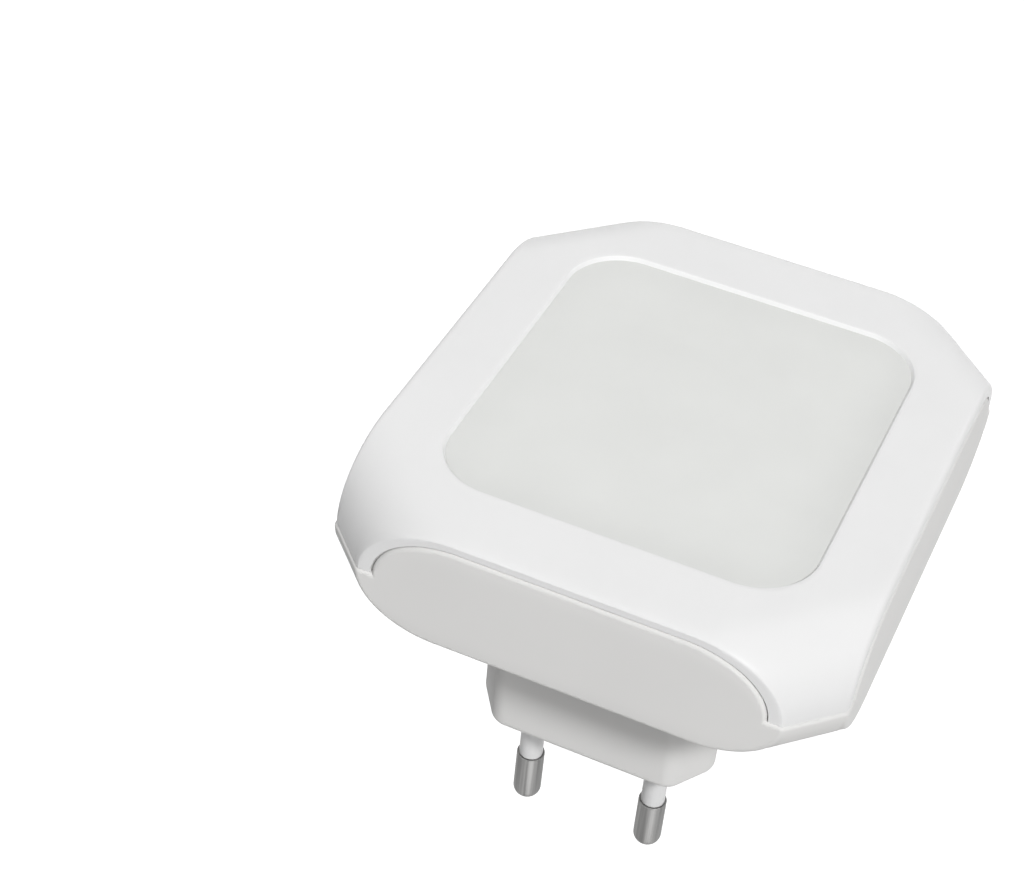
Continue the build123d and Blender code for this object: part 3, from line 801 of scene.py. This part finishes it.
def screw_seat(centre):
    """A cutter for one screw: its wide seat from the back, then its narrow hole through the pillar."""
    start, seat, end = case_back + CUT_PAST, case_back - SEAT_DEPTH, board_back - CUT_PAST
    return turned([(0, start), (SEAT_RADIUS, start), (SEAT_RADIUS, seat), (SCREW_HOLE, seat),
                   (SCREW_HOLE, end), (0, end)], centre)


def combine(piece, other, operation):
    """Add another closed mesh to a piece, or take it away, and delete the other."""
    cut = piece.modifiers.new(operation, "BOOLEAN")
    cut.object, cut.operation, cut.solver = other, operation, "EXACT"
    graph = bpy.context.evaluated_depsgraph_get()
    mesh = bpy.data.meshes.new_from_object(piece.evaluated_get(graph))
    piece.modifiers.clear()
    name = piece.name
    bpy.data.objects.remove(other)
    bpy.data.objects.remove(piece)
    return tidy_mesh(name, mesh, CUT_MERGE)


pillars = piece_from_patches(
    "pillars", [rod(PILLAR_RADIUS, case_back - FLOOR_WALL / 2, board_back, place) for place in screw_places])
housing = combine(housing_shell, pillars, "UNION")
neck_ring = outline(neck_corners, NECK_GAP, NECK_ROUND + NECK_GAP)
hole_depths = [case_back + CUT_PAST] * 2 + [case_back - NECK_HOLE_DEPTH] * 2
neck_hole = carried([0 * neck_ring, neck_ring, neck_ring, 0 * neck_ring], hole_depths)
cutters = piece_from_patches("cutters", [neck_hole] + [screw_seat(place) for place in screw_places])
housing = combine(housing, cutters, "DIFFERENCE")
stand_for(housing, "white_housing", "back_housing")

# %% [markdown]
# ## Panel
#
# The panel is an opal plate that drops into the opening from behind and is held by a flange. It lies a little
# under the rim. Its face is flat, and only its last few millimetres rise to the edge in a shallow cove. Opal
# plastic lets light in, and near its edge some of that light is lost behind the rim, so the panel gets darker
# there. The cove and a painted shade, a darker colour along the edge, give that look without a costly volume
# of haze.

# %% Panel
LENS_RECESS = OPENING_WALL[1][1]  # of the panel's edge under the rim
LENS_LAP = 0.03  # of its edge into the wall of the opening, so that no gap shows
LENS_EDGE = OPENING_WALL[1][0] + LENS_LAP
LENS_COVE = 0.45
EDGE_BAND = 8.0  # width of the cove and of the painted shade
# painted shade: share of the panel's colour that is left at its very edge
EDGE_SHADE_TONE = 0.93
LENS_FLANGE = 2.2
FLANGE_THICKNESS = 1.2
LENS_FLAT_ROWS = 8
LENS_COVE_ROWS = 10
opening_corners = opening_half * np.array([(1, -1), (1, 1), (-1, 1), (-1, -1)])


def cove_depth(share):
    """Depth y of the face at a share of the way out: it rises with the square of the way into the band."""
    way_in = max(0.0, 1 - (1 - share) * opening_half.mean() / EDGE_BAND)
    return -(parting + front_depth - LENS_RECESS - LENS_COVE * (1 - way_in**2))


face_ring = outline(opening_corners, LENS_EDGE, OPENING_ROUND + LENS_EDGE)
cove_start = 1 - EDGE_BAND / opening_half.mean()
shares = np.concatenate([np.linspace(0, cove_start, LENS_FLAT_ROWS),
                         np.linspace(cove_start, 1, LENS_COVE_ROWS)[1:]])
face_rings = [face_ring * share for share in shares]
flange_ring = outline(opening_corners, LENS_FLANGE, OPENING_ROUND + LENS_FLANGE)
flange_front = -(parting + front_depth - COVER_WALL)
flange_rings = [face_ring, flange_ring, flange_ring, flange_ring * 0]
flange_depths = [flange_front] * 2 + [flange_front + FLANGE_THICKNESS] * 2
lens_rows = carried(face_rings + flange_rings, [cove_depth(share) for share in shares] + flange_depths,
                    (0, case_middle))
lens = piece_from_patches("panel", [lens_rows])
stand_for(lens, "opal_panel", "diffuser_lens")


# %% Painted shade along the panel's edge
def edge_shade_mask(tree, half, band):
    """Mask of the painted shade: 0 inside a rectangle in x and z, and 1 at its edges, with a soft start.

    It is the square of how far a place is into the band along the edges, as a share of the band's width.
    """
    start = ((half[0] - band) * MM, 1.0, (half[1] - band) * MM)  # y is past every place, so it adds nothing
    past = vector_math(tree, "SUBTRACT", from_middle(tree), start).outputs[0]
    length = vector_math(tree, "LENGTH", vector_math(tree, "MAXIMUM", past).outputs[0])
    share = feed(tree, node(tree, "ShaderNodeMapRange"), Value=length.outputs["Value"], From_Max=band * MM)
    return number_math(tree, "POWER", share.outputs[0], 2.0)


panel_tree = FINISHES["opal_panel"].node_tree
# painted shade: the panel's colour is darkened towards its edges, where the rim shades it
paint_light_and_shade(panel_tree, edge_shade_mask(panel_tree, opening_half, EDGE_BAND), "MULTIPLY", EDGE_SHADE_TONE)

# %% [markdown]
# ## Plug neck
#
# The neck is a long flat hexagon with softened corners, moulded as a cup: closed at the plug face, where the
# pins come out, and open inside the case, where a flange keeps it in the housing.

# %% Plug neck
NECK_FACE_ROUND = 1.5
NECK_WALL = 1.8
NECK_END_WALL = 4.0
NECK_FLANGE = 2.4
NECK_FLANGE_THICKNESS = 1.5
NECK_ROWS = (-6, -14, -20)  # places of rows along its straight part
LEAST_ROUND = 0.3  # of the corners inside it
neck_inside = case_back - FLOOR_WALL
neck_profile = np.concatenate([
    arc_profile((-NECK_FACE_ROUND, -NECK_FACE_ROUND), NECK_FACE_ROUND, 90, 0, count=8),
    [(0, depth) for depth in NECK_ROWS],
    [(0, neck_inside), (NECK_FLANGE, neck_inside),
     (NECK_FLANGE, neck_inside - NECK_FLANGE_THICKNESS), (-NECK_WALL, neck_inside - NECK_FLANGE_THICKNESS),
     (-NECK_WALL, -NECK_END_WALL)]])
neck_rings = [outline(neck_corners, grow, max(NECK_ROUND + grow, LEAST_ROUND)) for grow in neck_profile[:, 0]]
neck_rings = [0 * neck_rings[0], *neck_rings, 0 * neck_rings[0]]
neck_depths = [0, *neck_profile[:, 1], -NECK_END_WALL]
neck = piece_from_patches("neck", [carried(neck_rings, neck_depths)])
stand_for(neck, "white_housing", "plug_neck")

# %% [markdown]
# ## Pins and sleeves
#
# A pin is turned from brass and plated: a thin core in a white sleeve, and a thicker tip with a rounded end,
# whose shoulder the sleeve butts against. Both are profiles carried round the pin's axis.

# %% Pins and sleeves
PIN_TIP = 2.0
PIN_CORE = 1.2
SLEEVE_RADIUS = 1.7
PIN_END_ROUND = 1.7
PIN_LENGTH = 19.0
SLEEVE_LENGTH = 10.2
SLEEVE_ROUND = 0.1
PIN_INNER = 8.0
CUP_RADIUS = 0.4
CUP_DEPTH = 2.0
SHOULDER_ROUND = 0.15
pin_profile = np.concatenate([
    [(0, PIN_LENGTH)],
    arc_profile((PIN_TIP - PIN_END_ROUND, PIN_LENGTH - PIN_END_ROUND), PIN_END_ROUND, 90, 0, count=12),
    arc_profile((PIN_TIP - SHOULDER_ROUND, SLEEVE_LENGTH + SHOULDER_ROUND), SHOULDER_ROUND, 0, -90, count=5),
    [(PIN_CORE, SLEEVE_LENGTH), (PIN_CORE, -PIN_INNER), (CUP_RADIUS, -PIN_INNER),
     (CUP_RADIUS, CUP_DEPTH - PIN_INNER), (0, CUP_DEPTH - PIN_INNER)]])
sleeve_profile = np.concatenate([
    [(PIN_CORE, SLEEVE_LENGTH)],
    arc_profile((SLEEVE_RADIUS - SLEEVE_ROUND, SLEEVE_LENGTH - SLEEVE_ROUND), SLEEVE_ROUND, 90, 0, count=4),
    [(SLEEVE_RADIUS, -NECK_END_WALL), (PIN_CORE, -NECK_END_WALL), (PIN_CORE, SLEEVE_LENGTH)]])
for side in ("left", "right"):
    low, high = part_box(f"pin_{side}")
    pin_x = (low[0] + high[0]) / 2 / MM
    pin = piece_from_patches(f"plated_pin_{side}", [turned(pin_profile, (pin_x, 0))])
    stand_for(pin, "pin_metal", f"pin_{side}")
    sleeve = piece_from_patches(f"sleeve_{side}", [turned(sleeve_profile, (pin_x, 0))])
    stand_for(sleeve, "pin_sleeve", f"pin_sleeve_{side}")

# %% [markdown]
# ## Hidden pieces
#
# Behind the panel are the board, the tray, the lamps and the parts of the supply. Their CAD meshes have the
# right shapes, so they stay, and each slot of the record gets its own finish.

# %% Finishes of the hidden pieces
HIDDEN = {
    "board": dict(low=grey(0.62, 0.03), high=grey(0.68, 0.03), gloss=(0.3, 0.4), grain=(3000.0, 4.0)),
    "tray": dict(low=grey(0.80), high=grey(0.84), gloss=(0.5, 0.6)),
    "screw_steel": dict(low=grey(0.45), high=grey(0.55), gloss=(0.25, 0.4), Metallic=1.0,
                        rings=(3000.0, 2.0)),
    "led_body": dict(low=grey(0.72), high=grey(0.78), gloss=(0.4, 0.5)),
    "phosphor": dict(low=(0.72, 0.48, 0.02), high=(0.82, 0.58, 0.04), gloss=(0.25, 0.35)),
    "sensor_resin": dict(low=(0.010, 0.008, 0.014), high=(0.02, 0.015, 0.03), gloss=(0.08, 0.15)),
    "film_capacitor": dict(low=(0.55, 0.32, 0.02), high=(0.62, 0.38, 0.03), gloss=(0.3, 0.4)),
    "can_sleeve": dict(low=(0.006, 0.007, 0.012), high=(0.012, 0.014, 0.022), gloss=(0.2, 0.3)),
    "black_epoxy": dict(low=grey(0.010), high=grey(0.02), gloss=(0.45, 0.6)),
    "tinned_lead": dict(low=grey(0.50), high=grey(0.60), gloss=(0.2, 0.35), Metallic=1.0),
    "resistor_body": dict(low=(0.10, 0.24, 0.20), high=(0.13, 0.29, 0.24), gloss=(0.3, 0.4)),
    "chip_ceramic": dict(low=grey(0.012), high=grey(0.03), gloss=(0.25, 0.4)),
    "wire_red": dict(low=(0.32, 0.012, 0.01), high=(0.42, 0.02, 0.015), gloss=(0.35, 0.45)),
    "wire_black": dict(low=grey(0.008), high=grey(0.016), gloss=(0.35, 0.45)),
}
FINISHES.update({slot: finish(slot, **values) for slot, values in HIDDEN.items()})
for part in frame["record"]["subparts"]:
    materials = frame["nodes"][part["node"]].data.materials
    materials.clear()
    materials.append(FINISHES[part["material_slot"]])
print("finishes:", len(FINISHES))

# %% [markdown]
# ## Stage and light
#
# The light hangs in front of white. A pale floor lies well below it. The camera, and anything glossy or
# clear, sees the world as white and the floor lifted to white, a little less so below the object, where a
# soft shadow is left. What lights the object is a much weaker world and three lamps. The key is rather small,
# so the case throws a clear shadow on the plug neck. It stands over the rolled corner between -X and +Z. A
# soft lamp lights the front from the corner beside it, and one comes from the plug's side.

# %% White world
WORLD_LIGHT = 0.08
WHITE = (1.0, 1.0, 1.0, 1.0)


def seen_mask(tree):
    """1 for rays from the camera and from glossy or clear surfaces, 0 for the light that falls on things."""
    path = node(tree, "ShaderNodeLightPath")
    seen = path.outputs["Is Camera Ray"]
    for kind in ("Is Glossy Ray", "Is Transmission Ray"):
        seen = number_math(tree, "MAXIMUM", seen, path.outputs[kind])
    return seen


world = bpy.data.worlds.new("studio")
bpy.context.scene.world = world
world.use_nodes = True
tree = world.node_tree
strength = feed(tree, node(tree, "ShaderNodeMapRange"), Value=seen_mask(tree), To_Min=WORLD_LIGHT,
                To_Max=1.0)
feed(tree, tree.nodes["Background"], Color=WHITE, Strength=strength.outputs["Result"])

# %% Floor
FLOOR_HALF = 4.0
FLOOR_DROP = 0.45
FLOOR_LIFT = 0.75  # below the object, where a soft shadow is left
LIFT_REACH = (1.0, 3.0)  # distances over which the lift rises to 1


def lift_floor(material):
    """Let the floor glow for the eye alone, by FLOOR_LIFT near the object and by 1 far away."""
    tree = material.node_tree
    place = node(tree, "ShaderNodeTexCoord").outputs["Object"]
    away = vector_math(tree, "LENGTH", place).outputs["Value"]
    rise = feed(tree, node(tree, "ShaderNodeMapRange"), Value=away, From_Min=LIFT_REACH[0],
                From_Max=LIFT_REACH[1], To_Min=FLOOR_LIFT, To_Max=1.0)
    lift = number_math(tree, "MULTIPLY", seen_mask(tree), rise.outputs["Result"])
    feed(tree, tree.nodes["Principled BSDF"], Emission_Color=WHITE, Emission_Strength=lift)


floor_z = cad_box[0][2] - FLOOR_DROP
floor_corners = [(x * FLOOR_HALF, y * FLOOR_HALF, floor_z) for x, y in ((-1, -1), (1, -1), (1, 1), (-1, 1))]
floor_mesh = bpy.data.meshes.new("floor")
floor_mesh.from_pydata(floor_corners, [], [(0, 1, 2, 3)])
floor = bpy.data.objects.new("floor", floor_mesh)
bpy.context.scene.collection.objects.link(floor)
floor_paint = finish("floor_paint", grey(0.64), grey(0.66), (0.7, 0.8), grain=(400.0, 30.0), tone=3.0)
lift_floor(floor_paint)
floor_mesh.materials.append(floor_paint)


# %% Lamps
LAMP_DISTANCE = 2.0


def lamp(name, rise, turn, size, watts):
    """A square soft lamp facing the middle of the case.

    rise is its angle out of the parting plane towards the front, and turn its angle in that plane from +X
    towards +Z, both in degrees. size is the length of its sides in metres.
    """
    data = bpy.data.lights.new(name, "AREA")
    data.shape, data.size, data.energy = "SQUARE", size, watts
    made = bpy.data.objects.new(name, data)
    centre = Vector((0.0, -parting, case_middle)) * MM
    rise, turn = np.radians(rise), np.radians(turn)
    towards = Vector((np.cos(rise) * np.cos(turn), -np.sin(rise), np.cos(rise) * np.sin(turn)))
    made.location = centre + towards * LAMP_DISTANCE
    made.rotation_mode = "QUATERNION"
    made.rotation_quaternion = towards.to_track_quat("Z", "Y")
    bpy.context.scene.collection.objects.link(made)


lamp("key", rise=47.5, turn=132, size=0.25, watts=31.0)
lamp("across", rise=43, turn=41, size=1.0, watts=12.5)
lamp("low", rise=-38, turn=124, size=0.9, watts=16.0)
